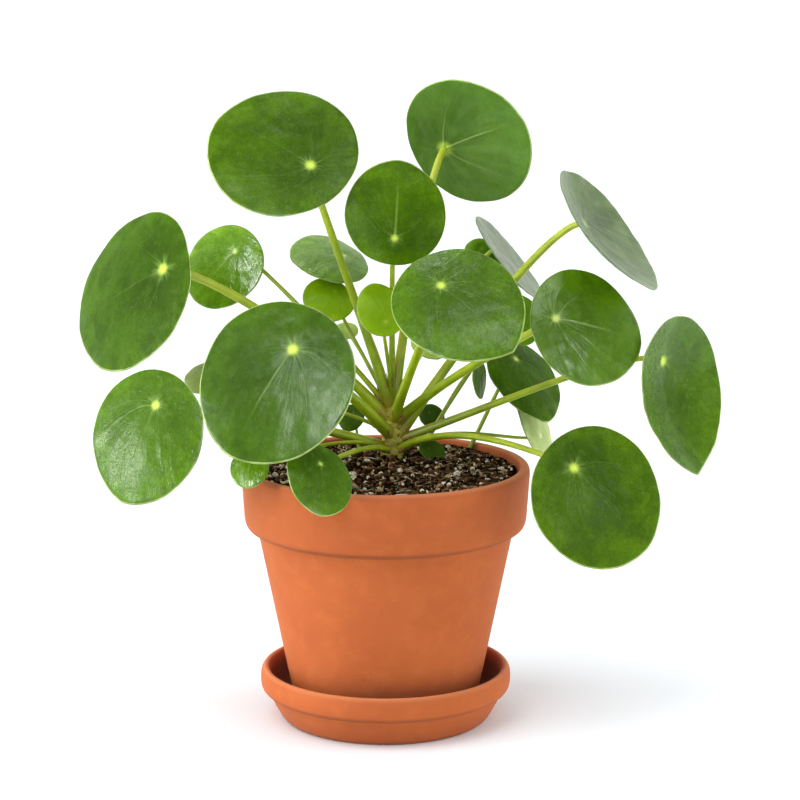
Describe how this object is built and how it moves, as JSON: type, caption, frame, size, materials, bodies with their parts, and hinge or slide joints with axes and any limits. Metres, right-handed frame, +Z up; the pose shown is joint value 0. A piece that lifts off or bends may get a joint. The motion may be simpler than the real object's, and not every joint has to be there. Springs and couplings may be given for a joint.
{
  "type": "potted chinese money plant",
  "caption": "Chinese money plant with round peltate leaves on arching stalks, potted in a terracotta pot standing on its saucer.",
  "frame": {"origin": "centre of the saucer's underside, on the surface the plant stands on", "axes": "+Z up the pot's axis; +X to the right of the pictured front, which looks along +Y"},
  "size_m": [0.2977, 0.155, 0.2923],
  "materials": {
    "terracotta": "matt unglazed fired clay, slightly mottled",
    "potting_soil": "rough dark peat with pale perlite grains",
    "stem_bark": "matt green-brown stem with leaf scars",
    "leaf_stalk": "smooth satin yellow-green",
    "leaf_blade": "smooth leathery gloss, paler below"
  },
  "bodies": {
    "root": {"saucer": "terracotta", "pot": "terracotta", "soil": "potting_soil", "trunk": "stem_bark", "leaf_stalk_01": "leaf_stalk", "leaf_blade_01": "leaf_blade", "leaf_stalk_02": "leaf_stalk", "leaf_blade_02": "leaf_blade", "leaf_stalk_03": "leaf_stalk", "leaf_blade_03": "leaf_blade", "leaf_stalk_04": "leaf_stalk", "leaf_blade_04": "leaf_blade", "leaf_stalk_05": "leaf_stalk", "leaf_blade_05": "leaf_blade", "leaf_stalk_06": "leaf_stalk", "leaf_blade_06": "leaf_blade", "leaf_stalk_07": "leaf_stalk", "leaf_blade_07": "leaf_blade", "leaf_stalk_08": "leaf_stalk", "leaf_blade_08": "leaf_blade", "leaf_stalk_09": "leaf_stalk", "leaf_blade_09": "leaf_blade", "leaf_stalk_10": "leaf_stalk", "leaf_blade_10": "leaf_blade", "leaf_stalk_11": "leaf_stalk", "leaf_blade_11": "leaf_blade", "leaf_stalk_12": "leaf_stalk", "leaf_blade_12": "leaf_blade", "leaf_stalk_13": "leaf_stalk", "leaf_blade_13": "leaf_blade", "leaf_stalk_14": "leaf_stalk", "leaf_blade_14": "leaf_blade", "leaf_stalk_15": "leaf_stalk", "leaf_blade_15": "leaf_blade", "leaf_stalk_16": "leaf_stalk", "leaf_blade_16": "leaf_blade", "leaf_stalk_17": "leaf_stalk", "leaf_blade_17": "leaf_blade", "leaf_stalk_18": "leaf_stalk", "leaf_blade_18": "leaf_blade", "leaf_stalk_19": "leaf_stalk", "leaf_blade_19": "leaf_blade", "leaf_stalk_20": "leaf_stalk", "leaf_blade_20": "leaf_blade", "leaf_stalk_21": "leaf_stalk", "leaf_blade_21": "leaf_blade", "leaf_stalk_22": "leaf_stalk", "leaf_blade_22": "leaf_blade", "leaf_stalk_23": "leaf_stalk", "leaf_blade_23": "leaf_blade", "leaf_stalk_24": "leaf_stalk", "leaf_blade_24": "leaf_blade", "leaf_stalk_25": "leaf_stalk", "leaf_blade_25": "leaf_blade", "leaf_stalk_26": "leaf_stalk", "leaf_blade_26": "leaf_blade", "offset_01": "leaf_blade", "offset_02": "leaf_blade", "offset_03": "leaf_blade"}
  },
  "joints": []
}
